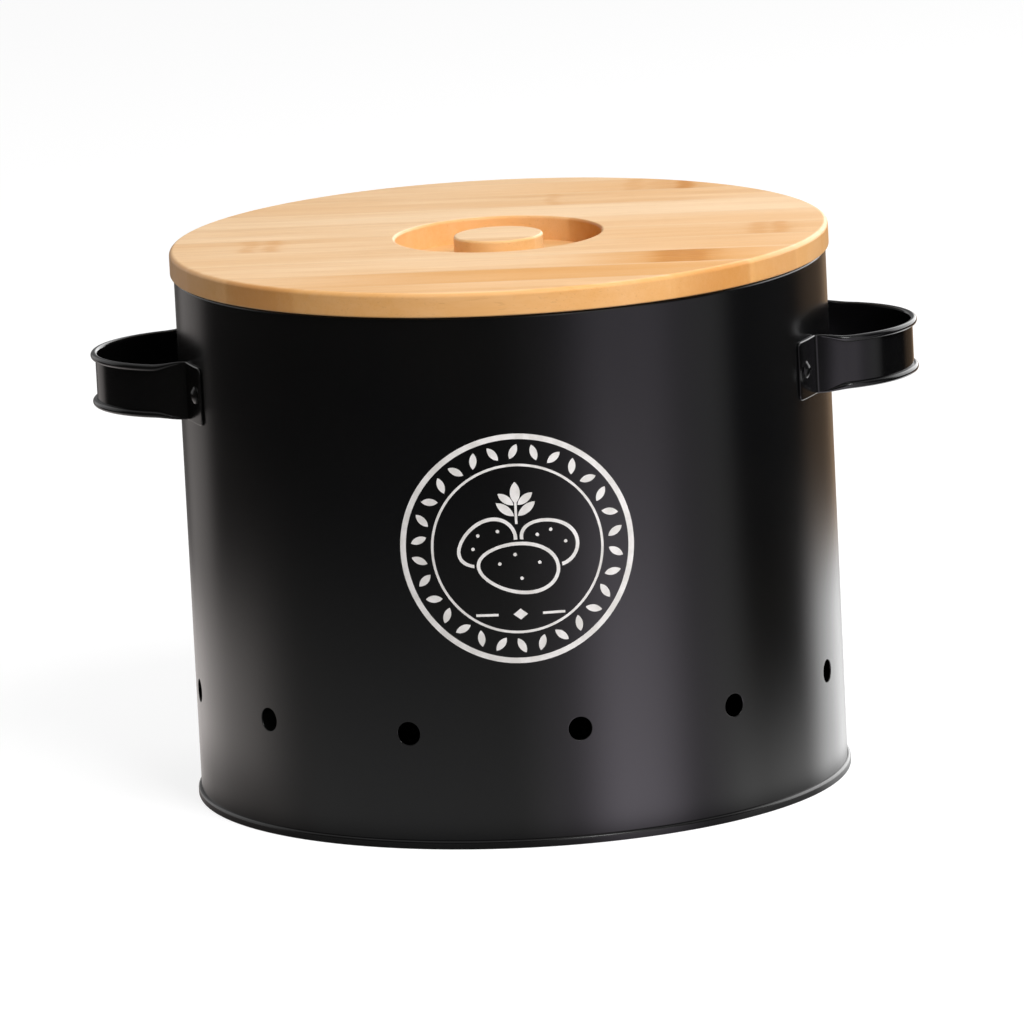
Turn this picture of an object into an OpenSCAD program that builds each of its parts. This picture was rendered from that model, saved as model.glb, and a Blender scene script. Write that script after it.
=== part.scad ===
// Round tin storage bin for potatoes, with two riveted strap handles and a bamboo lid.
// The origin is on the table at the centre of the base. The front faces -Y and the handles lie on the X axis.

/* [Body] */
// Outer diameter of the tin wall
body_d = 240; // [200:1:300]
// Height of the rim above the table
body_h = 195; // [170:1:240]
// Thickness of the tin sheet of the wall and the base
sheet_t = 0.6; // [0.4:0.1:1]
// Diameter of the curled safe edge at the rim
rim_curl_d = 2.4; // [2:0.1:4]
// Width of the locked seam down the back of the wall
side_seam_w = 6; // [4:0.5:10]
// How far the locked seam stands out of the wall
side_seam_out = 0.5; // [0.3:0.1:1]

/* [Base] */
// Height of the base panel's underside above the table
base_rise = 4; // [3:0.5:8]
// Height of the rolled seam round the foot
foot_seam_h = 3.2; // [2.5:0.1:5]
// How far the rolled seam stands out of the wall
foot_seam_out = 1.2; // [1:0.1:2]

/* [Vents] */
// Number of round vent holes
vent_count = 12; // [6:1:16]
// Diameter of a vent hole
vent_d = 8.5; // [6:0.5:14]
// Height of the vent holes' centres above the table
vent_z = 42.5; // [25:0.5:60]
// Turn of the row of vents from the line between the handles, in degrees
vent_turn = -2.7; // [-10:0.1:10]

/* [Handles] */
// Height of the strap, over both rolled edges
strap_h = 19.8; // [16:0.1:24]
// Thickness of the strap's sheet
strap_t = 0.8; // [0.6:0.1:1.2]
// Diameter of the strap's rolled edges
strap_bead_d = 2.5; // [2:0.1:4]
// Outer radius of the strap's loop
loop_r = 38; // [32:0.5:45]
// How far the loop stands out of the wall
loop_reach = 32.5; // [28:0.5:38]
// Depth of the strap's middle below the rim
handle_drop = 38; // [30:1:60]
// Height of each foot, where the rolled edges are pressed flat
foot_h = 21.6; // [18:0.1:26]
// Width of each foot along the wall
foot_w = 15.5; // [12:0.5:24]
// Distance of each rivet from the free end of its foot
rivet_inset = 6.5; // [5:0.5:8]
// Inner radius of the bend between the strap and its foot
bend_r = 1.2; // [0.8:0.1:3]
// Length of strap over which the rolled edges run out next to the bend
runout_l = 10; // [6:0.5:16]

/* [Rivets] */
// Diameter of a rivet's head
rivet_head_d = 6.4; // [5:0.1:8]
// Height of a rivet's head
rivet_head_h = 1.5; // [1:0.1:2.5]
// Diameter of a rivet's shank
rivet_shank_d = 3.2; // [2.4:0.1:4]
// Diameter of the spread tail inside the bin
rivet_tail_d = 5; // [4.5:0.1:7]
// Height of the spread tail
rivet_tail_h = 1.2; // [0.8:0.1:2]
// Radial clearance of a shank in its hole
rivet_clear = 0.05; // [0.02:0.01:0.1]

/* [Lid] */
// Thickness of the bamboo board
lid_t = 9; // [7:0.5:14]
// How far the board stands past the wall
lid_over = 1.6; // [0.5:0.1:4]
// Rounding of the board's top edge
lid_round = 1.8; // [0.8:0.1:3]
// Rounding of the board's bottom edge
lid_under_round = 0.7; // [0.3:0.1:1.5]
// Thickness of the locating disc under the board
plug_t = 8; // [5:0.5:12]
// Radial clearance of the locating disc in the rim
plug_clear = 0.8; // [0.4:0.1:2]
// Height of the board above the curled rim
seat_gap = 0.1; // [0.05:0.05:0.3]
// Diameter of the finger recess
recess_d = 76; // [64:1:90]
// Rounding of the recess's top edge
recess_round = 1.2; // [0.4:0.1:1.5]
// Diameter of the knob
knob_d = 33; // [28:0.5:40]
// Rounding of the knob's top edge
knob_round = 1; // [0.5:0.1:2]

/* [Knob screw] */
// Diameter of the screw's shank
screw_d = 4; // [3:0.5:5]
// Diameter of the screw's countersunk head
screw_head_d = 8; // [7:0.5:10]
// Length of screw that enters the knob
screw_bite = 6.5; // [4:0.5:6.5]
// Radial clearance of the screw in its hole
screw_clear = 0.05; // [0.02:0.01:0.1]

/* [Front print] */
// Outer radius of the round print
print_r = 42; // [34:0.5:48]
// Height of the print's centre above the table
print_z = 110; // [100:1:120]
// Turn of the print from the bin's front, in degrees
print_turn = 3; // [-10:0.5:10]
// Thickness of the ink
ink_t = 0.1; // [0.05:0.05:0.3]
// Width of the print's bold strokes
bold_w = 2; // [1:0.1:3]
// Width of the print's fine strokes
fine_w = 0.9; // [0.5:0.1:1.5]
// Width of the band that holds the print's wreath
wreath_w = 9; // [7:0.5:10]
// Number of leaves in the wreath
wreath_leaves = 30; // [20:2:40]
// Length of a leaf in the wreath
wreath_leaf_l = 6; // [4:0.5:7]
// Width of a leaf in the wreath
wreath_leaf_w = 2.6; // [1.5:0.1:3]

/* [Hidden] */
$fn = 96;
// Cuts run this far past the faces they go through
past = 1;
// The strap's end and its foot run this far into the bend between them
lap = 0.5;
// Pressing thins the strap's flat end by this much on each face, and its bend by twice as much
skin = 0.04;

tin_black = [0.07, 0.07, 0.075];
gloss_black = [0.04, 0.04, 0.045];
bamboo = [0.91, 0.74, 0.52];
bamboo_dark = [0.80, 0.58, 0.34];
ink_white = [0.93, 0.92, 0.91];
steel = [0.72, 0.72, 0.74];

body_r = body_d / 2;
wall_in_r = body_r - sheet_t;
rim_r = rim_curl_d / 2;
rim_in_r = body_r - rim_curl_d;
foot_seam_r = body_r + foot_seam_out;
// The locked seam stops this far from the rim's curl and the rolled foot
seam_margin = 3;

// The handle is laid out in plan. The bend's centre lies outside both the wall and the loop.
handle_z = body_h - handle_drop;
loop_x = body_r + loop_reach - loop_r;
strap_in_r = loop_r - strap_bead_d;
strap_out_r = strap_in_r + strap_t;
bead_r = strap_bead_d / 2;
bend_from_axis = body_r + strap_t + bend_r;
bend_from_loop = strap_out_r + bend_r;
bend_turn = acos((pow(bend_from_axis, 2) + pow(loop_x, 2) - pow(bend_from_loop, 2)) / (2 * bend_from_axis * loop_x));
bend_x = bend_from_axis * cos(bend_turn);
bend_y = bend_from_axis * sin(bend_turn);
loop_turn = atan2(bend_y, bend_x - loop_x);
foot_turn = bend_turn + foot_w / body_r * 180 / PI;
rivet_turn = foot_turn - rivet_inset / body_r * 180 / PI;
runout_turn = runout_l / strap_out_r * 180 / PI;
bead_turn = loop_turn - runout_turn;
bead_z = strap_h / 2 - bead_r;
// Seen from the side, the flat end's height tapers from the bend to these two places
runout_x = loop_x + strap_out_r * cos(bead_turn);
taper_x = loop_x + strap_out_r * cos(bead_turn - runout_turn);

tail_seat_r = sqrt(pow(wall_in_r, 2) - pow(rivet_tail_d / 2, 2));

lid_r = body_r + lid_over;
lid_z = body_h + seat_gap;
recess_r = recess_d / 2;
knob_r = knob_d / 2;
plug_r = rim_in_r - plug_clear;
plug_z = lid_z - plug_t;
screw_r = screw_d / 2;
screw_head_r = screw_head_d / 2;
screw_tip_l = screw_d / 2;
screw_sink_h = screw_head_r - screw_r;
slot_w = 1.2;
slot_l = 4.6;
slot_deep = 1.4;

inner_ring_r = print_r - bold_w - wreath_w;
wreath_r = inner_ring_r + wreath_w / 2;
// The wreath's leaves lean this far from the line to the print's centre, by turns to each side
leaf_lean = 28;
// The picture inside the rings is drawn for an inner ring of this radius
picture_r = 31;

// Ring or arc with a rectangular section, from one turn to another
module arc_bar(inner_r, wide, high, from_turn = 0, to_turn = 360) {
    rotate([0, 0, from_turn])
        rotate_extrude(angle = to_turn - from_turn)
            translate([inner_r, -high / 2])
                square([wide, high]);
}

// Straight edge band from corner a to corner b, with both right-hand corners rounded by r
module outer_round_rect(a, b, r) {
    translate(a)
        square([b[0] - a[0] - r, b[1] - a[1]]);
    translate([a[0], a[1] + r])
        square([b[0] - a[0], b[1] - a[1] - 2 * r]);
    for (z = [a[1] + r, b[1] - r])
        translate([b[0] - r, z])
            circle(r);
}

// Places its children at a rivet of the right handle, with +Z pointing out of the wall
module at_rivet(side) {
    rotate([0, 0, side * rivet_turn])
        translate([0, 0, handle_z])
            rotate([0, 90, 0])
                children();
}

module body_wall() {
    color(tin_black)
    difference() {
        union() {
            rotate_extrude() {
                translate([wall_in_r, sheet_t])
                    square([sheet_t, body_h - rim_r - sheet_t]);
                translate([body_r - rim_r, body_h - rim_r])
                    circle(rim_r);
            }
            side_seam();
        }
        for (i = [0 : vent_count - 1])
            rotate([0, 0, vent_turn + (i + 0.5) * 360 / vent_count])
                translate([body_r - rim_curl_d, 0, vent_z])
                    rotate([0, 90, 0])
                        cylinder(d = vent_d, h = rim_curl_d + past);
        for (half_turn = [0, 180], side = [-1, 1])
            rotate([0, 0, half_turn])
                at_rivet(side)
                    cylinder(r = rivet_shank_d / 2 + rivet_clear, h = body_r + past);
    }
}

// Locked seam of the rolled sheet, down the back of the wall
module side_seam() {
    seam_turn = side_seam_w / body_r * 180 / PI;
    seam_bottom = foot_seam_h + seam_margin;
    seam_top = body_h - rim_curl_d - seam_margin;
    translate([0, 0, (seam_bottom + seam_top) / 2])
        arc_bar(wall_in_r, sheet_t + side_seam_out, seam_top - seam_bottom,
            90 - seam_turn / 2, 90 + seam_turn / 2);
}

// Pressed base, whose rolled seam wraps the foot of the wall
module base_plate() {
    color(tin_black)
    difference() {
        rotate_extrude() {
            translate([0, base_rise])
                square([wall_in_r, sheet_t]);
            translate([wall_in_r - sheet_t, 0])
                square([sheet_t, base_rise + sheet_t]);
            outer_round_rect([wall_in_r - sheet_t, 0], [foot_seam_r, foot_seam_h], foot_seam_out / 2);
        }
        translate([0, 0, sheet_t])
            rotate_extrude()
                translate([wall_in_r, 0])
                    square([sheet_t, foot_seam_h]);
    }
}

// Right-hand strap handle: a loop, two bends and two feet on the wall
module handle() {
    translate([0, 0, handle_z]) {
        translate([loop_x, 0, 0])
            rolled_loop();
        for (side = [0, 1])
            mirror([0, side, 0]) {
                strap_end();
                handle_foot();
            }
    }
}

// Middle of the loop, with a rolled edge at the top and bottom that ends round
module rolled_loop() {
    path_r = strap_in_r + bead_r;
    rotate([0, 0, -bead_turn])
        rotate_extrude(angle = 2 * bead_turn) {
            translate([strap_in_r, -bead_z])
                square([strap_t, 2 * bead_z]);
            for (z = [-bead_z, bead_z])
                translate([path_r, z])
                    circle(bead_r, $fn = 32);
        }
    for (end = [-1, 1], z = [-bead_z, bead_z])
        rotate([0, 0, end * bead_turn])
            translate([path_r, 0, z])
                sphere(bead_r - skin, $fn = 32);
}

// Flat end of the strap on the +Y side, which grows taller towards its bend
module strap_end() {
    half_foot = foot_h / 2;
    end_z = bead_z - bead_r;
    intersection() {
        translate([loop_x, 0, 0])
            arc_bar(strap_in_r + skin, strap_t - 2 * skin, foot_h,
                bead_turn - runout_turn, loop_turn + lap / strap_in_r * 180 / PI);
        rotate([90, 0, 0])
            linear_extrude(4 * loop_r, center = true)
                polygon([
                    [0, -half_foot], [bend_x, -half_foot], [runout_x, -strap_h / 2], [taper_x, -end_z],
                    [taper_x, end_z], [runout_x, strap_h / 2], [bend_x, half_foot], [0, half_foot]
                ]);
    }
}

// Bend and foot on the +Y side, with the rivet's hole
module handle_foot() {
    difference() {
        union() {
            translate([bend_x, bend_y, 0])
                arc_bar(bend_r + 2 * skin, strap_t - 4 * skin, foot_h - 2 * skin, 180 + bend_turn, 180 + loop_turn);
            arc_bar(body_r, strap_t, foot_h, bend_turn - lap / body_r * 180 / PI, foot_turn);
        }
        rotate([0, 90, rivet_turn])
            cylinder(r = rivet_shank_d / 2 + rivet_clear, h = body_r + strap_t + past);
    }
}

module left_handle() {
    color(gloss_black)
        rotate([0, 0, 180])
            handle();
}

module right_handle() {
    color(gloss_black)
        handle();
}

// Rivet with its axis on Z, whose shank crosses the wall and a foot
module rivet() {
    head_seat = body_r + strap_t;
    translate([0, 0, tail_seat_r])
        cylinder(d = rivet_shank_d, h = head_seat - tail_seat_r);
    translate([0, 0, head_seat])
        dome(rivet_head_d / 2, rivet_head_h);
    translate([0, 0, tail_seat_r])
        mirror([0, 0, 1])
            dome(rivet_tail_d / 2, rivet_tail_h);
}

// Slice of a sphere that stands on its flat face
module dome(base_r, high) {
    ball_r = (pow(base_r, 2) + pow(high, 2)) / (2 * high);
    intersection() {
        translate([0, 0, high - ball_r])
            sphere(ball_r);
        cylinder(r = base_r + past, h = high + past);
    }
}

module handle_rivets() {
    for (side = [-1, 1])
        at_rivet(side)
            rivet();
}

module left_handle_rivets() {
    color(gloss_black)
        rotate([0, 0, 180])
            handle_rivets();
}

module right_handle_rivets() {
    color(gloss_black)
        handle_rivets();
}

// Bamboo board with a round hole for the finger recess
module lid_board() {
    color(bamboo)
    translate([0, 0, lid_z])
    difference() {
        rotate_extrude() {
            square([lid_r - lid_round, lid_t]);
            translate([0, lid_under_round])
                square([lid_r, lid_t - lid_round - lid_under_round]);
            square([lid_r - lid_under_round, lid_t - lid_round]);
            translate([lid_r - lid_round, lid_t - lid_round])
                circle(lid_round);
            translate([lid_r - lid_under_round, lid_under_round])
                circle(lid_under_round);
        }
        rotate_extrude() {
            translate([0, -past])
                square([recess_r, lid_t + 2 * past]);
            translate([recess_r, lid_t - recess_round])
                difference() {
                    square([recess_round, recess_round + past]);
                    translate([recess_round, 0])
                        circle(recess_round);
                }
        }
    }
}

// Disc glued under the board, which drops inside the rim and is the floor of the recess
module lid_plug() {
    color(bamboo_dark)
    translate([0, 0, plug_z])
    difference() {
        rotate_extrude() {
            translate([0, lid_under_round])
                square([plug_r, plug_t - lid_under_round]);
            square([plug_r - lid_under_round, plug_t]);
            translate([plug_r - lid_under_round, lid_under_round])
                circle(lid_under_round);
        }
        screw_hole();
        cylinder(r1 = screw_head_r + screw_clear, r2 = screw_r + screw_clear, h = screw_sink_h);
    }
}

// Round knob that stands on the recess's floor, level with the board's top
module lid_knob() {
    color(bamboo)
    difference() {
        translate([0, 0, lid_z])
            rotate_extrude() {
                square([knob_r, lid_t - knob_round]);
                square([knob_r - knob_round, lid_t]);
                translate([knob_r - knob_round, lid_t - knob_round])
                    circle(knob_round);
            }
        translate([0, 0, plug_z])
            screw_hole();
    }
}

// Hole for the screw's shank, from the disc's underside to just past the screw's tip
module screw_hole() {
    cylinder(r = screw_r + screw_clear, h = plug_t + screw_bite + 2 * screw_clear);
}

// Countersunk wood screw that holds the knob from below
module knob_screw() {
    shank_l = plug_t + screw_bite - screw_tip_l;
    color(steel)
    translate([0, 0, plug_z])
    difference() {
        union() {
            cylinder(r = screw_r, h = shank_l);
            cylinder(r1 = screw_head_r, r2 = screw_r, h = screw_sink_h);
            translate([0, 0, shank_l])
                cylinder(r1 = screw_r, r2 = screw_r / 4, h = screw_tip_l);
        }
        for (turn = [0, 90])
            rotate([0, 0, turn])
                translate([-slot_l / 2, -slot_w / 2, -past])
                    cube([slot_l, slot_w, slot_deep + past]);
    }
}

// Round badge in white ink: a ring of leaves round three potatoes and a sprig
module front_print() {
    color(ink_white)
    rotate([0, 0, print_turn])
    intersection() {
        translate([0, 0, print_z])
            arc_bar(body_r, ink_t, 2 * print_r + past, 180, 360);
        translate([0, 0, print_z])
            rotate([90, 0, 0])
                linear_extrude(body_r + past)
                    badge();
    }
}

module badge() {
    ring(print_r, bold_w);
    ring(inner_ring_r, fine_w);
    for (i = [0 : wreath_leaves - 1])
        rotate(i * 360 / wreath_leaves)
            translate([0, wreath_r])
                rotate(i % 2 == 0 ? 90 - leaf_lean : 90 + leaf_lean)
                    leaf(wreath_leaf_l, wreath_leaf_w);
    scale(inner_ring_r / picture_r) {
        potato_heap();
        translate([0, 9])
            sprig();
        translate([0, -24])
            divider();
    }
}

module ring(outer_r, wide) {
    difference() {
        circle(outer_r);
        circle(outer_r - wide);
    }
}

// Pointed leaf along X, centred on the origin
module leaf(long, wide) {
    arc_r = (pow(long, 2) + pow(wide, 2)) / (4 * wide);
    intersection() {
        translate([0, arc_r - wide / 2])
            circle(arc_r);
        translate([0, wide / 2 - arc_r])
            circle(arc_r);
    }
}

// Three potatoes in outline, the front one over the two behind
module potato_heap() {
    half_w = 8.5;
    front_half_l = 15;
    front_half_w = 9.5;
    difference() {
        union() {
            translate([-11, 2])
                rotate(28)
                    potato(11.5, half_w);
            translate([11.5, 2])
                rotate(-24)
                    potato(11, half_w);
        }
        front_potato_place()
            potato_shape(front_half_l + fine_w, front_half_w + fine_w);
    }
    front_potato_place()
        potato(front_half_l, front_half_w);
}

module front_potato_place() {
    translate([0, -7])
        rotate(-6)
            children();
}

// Potato in outline, with four eyes at shares of its half length and half width
module potato(half_l, half_w) {
    stroke = 1.4 * fine_w;
    eye_r = 0.7 * fine_w;
    difference() {
        potato_shape(half_l, half_w);
        potato_shape(half_l - stroke, half_w - stroke);
    }
    for (eye = [[0.5, 0.25], [0.1, -0.4], [-0.45, 0.1], [-0.1, 0.5]])
        translate([eye[0] * half_l, eye[1] * half_w])
            circle(eye_r, $fn = 16);
}

// Blunt oval with one end fuller than the other
module potato_shape(half_l, half_w) {
    steps = 48;
    fuller = 0.14;
    polygon([
        for (i = [0 : steps - 1])
            let (a = i * 360 / steps)
                [half_l * cos(a), half_w * sin(a) * (1 + fuller * cos(a))]
    ]);
}

// Upright stem with a leaf at its tip and two pairs at its sides, each pair given by its height, length and width
module sprig() {
    stem_h = 8;
    tip_l = 8;
    tip_w = 3.6;
    tip_lap = 0.6;
    spread = 52;
    translate([-fine_w / 2, 0])
        square([fine_w, stem_h]);
    translate([0, stem_h + tip_l / 2 - tip_lap])
        rotate(90)
            leaf(tip_l, tip_w);
    for (side = [-1, 1], pair = [[2.4, 8, 3], [6.4, 7, 2.8]])
        translate([0, pair[0]])
            rotate(90 - side * spread)
                translate([pair[1] / 2 + fine_w, 0])
                    leaf(pair[1], pair[2]);
}

// Fine rule with a lozenge at its middle
module divider() {
    rule_l = 8;
    rule_x = 12;
    lozenge_half_w = 2.6;
    lozenge_half_h = 2;
    polygon([[-lozenge_half_w, 0], [0, -lozenge_half_h], [lozenge_half_w, 0], [0, lozenge_half_h]]);
    for (side = [-1, 1])
        translate([side * rule_x, 0])
            square([rule_l, fine_w], center = true);
}

body_wall();
base_plate();
left_handle();
right_handle();
left_handle_rivets();
right_handle_rivets();
front_print();
lid_board();
lid_plug();
lid_knob();
knob_screw();
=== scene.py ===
import math
from math import cos, radians, sin, sqrt

import bpy
from mathutils import Matrix, Vector


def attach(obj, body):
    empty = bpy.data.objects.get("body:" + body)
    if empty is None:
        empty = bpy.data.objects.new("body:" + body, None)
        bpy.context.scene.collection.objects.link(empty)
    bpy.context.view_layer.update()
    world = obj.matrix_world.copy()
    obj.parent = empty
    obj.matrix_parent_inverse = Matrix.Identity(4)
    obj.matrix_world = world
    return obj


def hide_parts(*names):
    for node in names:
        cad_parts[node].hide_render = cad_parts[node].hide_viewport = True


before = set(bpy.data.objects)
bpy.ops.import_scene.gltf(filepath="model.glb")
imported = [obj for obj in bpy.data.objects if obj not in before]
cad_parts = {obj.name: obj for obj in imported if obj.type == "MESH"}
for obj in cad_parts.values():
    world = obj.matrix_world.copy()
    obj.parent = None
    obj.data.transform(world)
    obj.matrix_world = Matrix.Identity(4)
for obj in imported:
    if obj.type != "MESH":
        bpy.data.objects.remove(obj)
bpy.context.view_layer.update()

# Sizes are in millimetres, and Shell.build turns them to metres. Names that end in _M are in metres.
MM = 0.001

# Tin body
BODY_R = 120
SHEET = 0.6
RIM_Z = 195
CURL_R = 1.2
COLUMNS = 360
VENT_COUNT = 12
VENT_R = 4.25
VENT_Z = 42.5
VENT_TURN = -2.7
VENT_CELLS = 12
VENT_CELL_H = 2
VENT_EDGE = 0.28
SEAM_W = 6
SEAM_OUT = 0.5
SEAM_FOLD = 0.45
SEAM_SUNK = 0.1
SEAM_END_L = 3
SEAM_Z = (6.2, 189.6)

# Base
BASE_RISE = 4
FOOT_R = 121.2
FOOT_H = 3.2
FOOT_ROUND = 0.6
FOOT_TOP_ROUND = 1.1
SKIRT_BEND = 1
SKIRT_CREASE = 0.3
PRESSED_R = 96
PRESSED_W = 8
PRESSED_H = 0.5

# Handles
STRAP_T = 0.8
BEAD_R = 1.25
STRAP_HALF_H = 9.9
FOOT_HALF_H = 10.8
LOOP_R = 38
LOOP_REACH = 32.49
HANDLE_Z = 157
BEND_R = 1.2
RUNOUT_L = 11
FOOT_W = 15.5
FOOT_CORNER = 2.2
FOOT_EDGE = 0.25
PRESSED_EDGE = 0.5
# Degrees of the loop between the run-out's end and the bend
RUNOUT_GAP = 1

# Rivets
RIVET_INSET = 6.5
RIVET_R = 3.2
RIVET_H = 1.5
RIVET_LIP = 0.25
RIVET_COLUMNS = 40
SHANK_R = 1.6
TAIL_R = 2.5
TAIL_H = 1.2

# Lid
LID_R = 121.3
LID_Z = 195.1
LID_T = 9
LID_ROUND = 1.8
LID_UNDER_ROUND = 0.7
RECESS_R = 38
RECESS_ROUND = 1.2
KNOB_R = 16.5
KNOB_ROUND = 1
KNOB_HOLE = 6.6
KNOB_COLUMNS = 160
PLUG_R = 116.8
PLUG_T = 8
SCREW_R = 2.05
SCREW_HEAD_R = 4.05
STRIP_W = 26.25

# Front print
PRINT_R = 42
PRINT_Z = 110
PRINT_TURN = 3
INK = 0.08
INK_SUNK = 0.03
BOLD = 2
FINE = 0.9
WREATH_W = 9
WREATH_LEAVES = 30
LEAF_L = 6
LEAF_W = 2.6
LEAF_LEAN = 28

# Camera, fitted to the photograph's outlines of the lid, the foot and the vents
LOOK_AT = (0, 0, 97.55)
CAMERA_FAR = 4000
CAMERA_AZIMUTH = 2.35
CAMERA_ELEVATION = 11.31
CAMERA_ROLL = -2.85
CAMERA_LENS = 380.4
SHIFT_X = -0.0002
SHIFT_Y = 0.0051
CLIP_NEAR_M = 0.1
CLIP_FAR_M = 60

UP = Vector((0, 0, 1))

# Marks on the lid's board, each as the strip, the place along it, the half length and the strength. First
# come the dark lines and softer bands at the nodes of the cane, and last one faint streak.
LID_MARKS = (
    (-1, -92, 2.5, 0.17), (-1, -83, 2.5, 0.2), (-1, -87, 8, 0.1),
    (-1, 96, 3, 0.22), (-1, 104, 2.5, 0.29), (-1, 100, 8, 0.15),
    (-3, 64, 4, 0.75), (-3, 74, 3, 1.0), (-3, 69, 10, 0.85), (-3, 66, 22, 0.2),
    (3, 67, 2.6, 0.9), (3, 64, 9, 0.25), (2, 18.5, 2.2, 0.18), (3, 48, 3, 0.22),
    (-4, 4, 60, 0.1),
)
# Ambered lengths of the strips, given as the marks are
LID_TINTS = (
    (-5, 0, 120, 0.2), (-4, 40, 80, 0.6), (-3, 76, 40, 0.65), (-2, 110, 60, 0.3),
    (-1, 85, 60, 0.2), (0, 85, 60, 0.25), (2, 45, 40, 0.2), (3, 60, 60, 0.4),
)
# Darker marks on upright faces, given as the marks are: the first is painted shade on the right wall of the
# recess, the others darker end grain round the board's side
LID_ENDS_AND_SHADE = ((0, 38, 10, 0.9), (-4, -86, 14, 0.4), (-4, 86, 14, 0.4), (-3, 105, 9, 0.2))
# One node of the cane under the lid
PLUG_MARKS = ((0, -70, 3, 0.5),)


def polar(radius, degrees, z=0):
    """Point at a turn from +X."""
    turn = radians(degrees)
    return Vector((radius * cos(turn), radius * sin(turn), z))


def smooth(t):
    """Eases from 0 to 1 as t goes from 0 to 1."""
    t = min(max(t, 0), 1)
    return t * t * (3 - 2 * t)


def between(a, b, t):
    """Value at share t of the way from a to b."""
    return a + (b - a) * t


def direction(azimuth, elevation):
    """Way out from the bin. Azimuth is counted in degrees from the front towards +X."""
    a, e = radians(azimuth), radians(elevation)
    return Vector((sin(a) * cos(e), -cos(a) * cos(e), sin(e)))


def new_object(name, data):
    """Object with the data, in the scene."""
    made = bpy.data.objects.new(name, data)
    bpy.context.scene.collection.objects.link(made)
    return made


# Mesh building

class Shell:
    """Faces whose corners carry their own normals. Corners that coincide are joined."""

    # Corners coincide in one cell. These are the cells to a millimetre, and an offset that keeps round sizes
    # off their edges.
    GRID = 2000
    OFFSET = 0.1234

    def __init__(self):
        self.points = []
        self.faces = []
        self.normals = []
        self.known = {}

    def corner(self, point):
        """Number of the corner at a point, which is new if no other lies there."""
        key = tuple(round(c * self.GRID + self.OFFSET) for c in point)
        if key not in self.known:
            self.known[key] = len(self.points)
            self.points.append(Vector(point))
        return self.known[key]

    def face(self, corners):
        """Adds a face of (point, normal) corners, turned so that it looks the way its normals do."""
        kept = []
        for point, normal in corners:
            index = self.corner(point)
            if index not in [k for k, n in kept]:
                kept.append((index, normal))
        if len(kept) < 3:
            return
        spots = [self.points[k] for k, n in kept]
        looks = sum((a.cross(b) for a, b in zip(spots, spots[1:] + spots[:1])), Vector())
        towards = sum((n for k, n in kept), Vector())
        if looks.dot(towards) < 0:
            kept.reverse()
        self.faces.append([k for k, n in kept])
        self.normals.extend(n for k, n in kept)

    def grid(self, rows, around=False):
        """Adds the quads between rows of corners. around joins each row's end to its start."""
        for low, high in zip(rows, rows[1:]):
            count = len(low)
            for i in range(count if around else count - 1):
                j = (i + 1) % count
                self.face([low[i], low[j], high[j], high[i]])

    def build(self, name, material, body, slot, *replaced):
        """Makes the piece, which rides on body and stands in for the replaced nodes."""
        mesh = bpy.data.meshes.new(name)
        mesh.from_pydata([p * MM for p in self.points], [], self.faces, shade_flat=False)
        mesh.normals_split_custom_set(self.normals)
        mesh.materials.append(material)
        piece = new_object(name, mesh)
        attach(piece, body)
        if replaced:
            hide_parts(*replaced)


def line(a, b):
    """Straight run of a profile, as (r, z, normal r, normal z).

    Its outside is on the right of the way from a to b.
    """
    dr, dz = b[0] - a[0], b[1] - a[1]
    size = math.hypot(dr, dz)
    return [(*a, dz / size, -dr / size), (*b, dz / size, -dr / size)]


def arc(centre, radius, start, end, steps=6):
    """Round run of a profile. It is hollow where the angle falls from start to end."""
    way = 1 if end > start else -1
    run = []
    for i in range(steps + 1):
        turn = radians(between(start, end, i / steps))
        c, s = cos(turn), sin(turn)
        run.append((centre[0] + radius * c, centre[1] + radius * s, way * c, way * s))
    return run


def lathe(shell, run, columns=256, turn=0, place=None):
    """Turns a profile round the Z axis, or round the Z axis of place."""
    place = place or Matrix.Identity(4)
    spin = place.to_3x3()
    angles = [turn + k * 360 / columns for k in range(columns)]
    rows = [[(place @ polar(r, a, z), spin @ polar(nr, a, nz)) for a in angles] for r, z, nr, nz in run]
    shell.grid(rows, around=True)


def lathe_all(runs, columns=256, turn=0):
    """Shell of several profiles turned round the Z axis."""
    shell = Shell()
    for run in runs:
        lathe(shell, run, columns, turn)
    return shell


def swept(rows):
    """Gives each point a normal: the way on to the next row, crossed with the way along its own."""
    def step(items, i):
        return items[min(i + 1, len(items) - 1)] - items[max(i - 1, 0)]

    columns = list(zip(*rows))
    return [
        [(p, step(columns[j], i).cross(step(row, j)).normalized()) for j, p in enumerate(row)]
        for i, row in enumerate(rows)
    ]


# Materials

def srgb(red, green, blue):
    """Colour as written on a screen, 0 to 255, for a shader."""
    def linear(c):
        c = c / 255
        return c / 12.92 if c <= 0.04045 else ((c + 0.055) / 1.055) ** 2.4

    return (linear(red), linear(green), linear(blue), 1)


WHITE = (1, 1, 1, 1)
COAT = srgb(8, 8, 9)
COAT_WARM = srgb(11, 10, 9)
COAT_SPECK = srgb(22, 21, 21)
INK_THIN = srgb(216, 212, 208)
INK_FULL = srgb(236, 232, 230)
ZINC_DARK = srgb(172, 172, 170)
ZINC_PALE = srgb(204, 204, 206)
LID_PALE = srgb(250, 215, 172)
LID_DEEP = srgb(231, 180, 121)
# The next two colours go on upright faces: partly the cut sides' own deeper tone, partly painted shade that
# keeps the sides darker than the top
LID_SIDE_AND_SHADE = srgb(218, 156, 84)
KNOB_SIDE_AND_SHADE = srgb(222, 172, 108)
PLUG_PALE = srgb(236, 190, 132)
PLUG_DEEP = srgb(208, 148, 84)
AMBER = srgb(224, 152, 44)
NODE_BROWN = srgb(182, 106, 0)
PORE_BROWN = srgb(168, 112, 58)
GLUE_BROWN = srgb(176, 118, 62)


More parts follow.
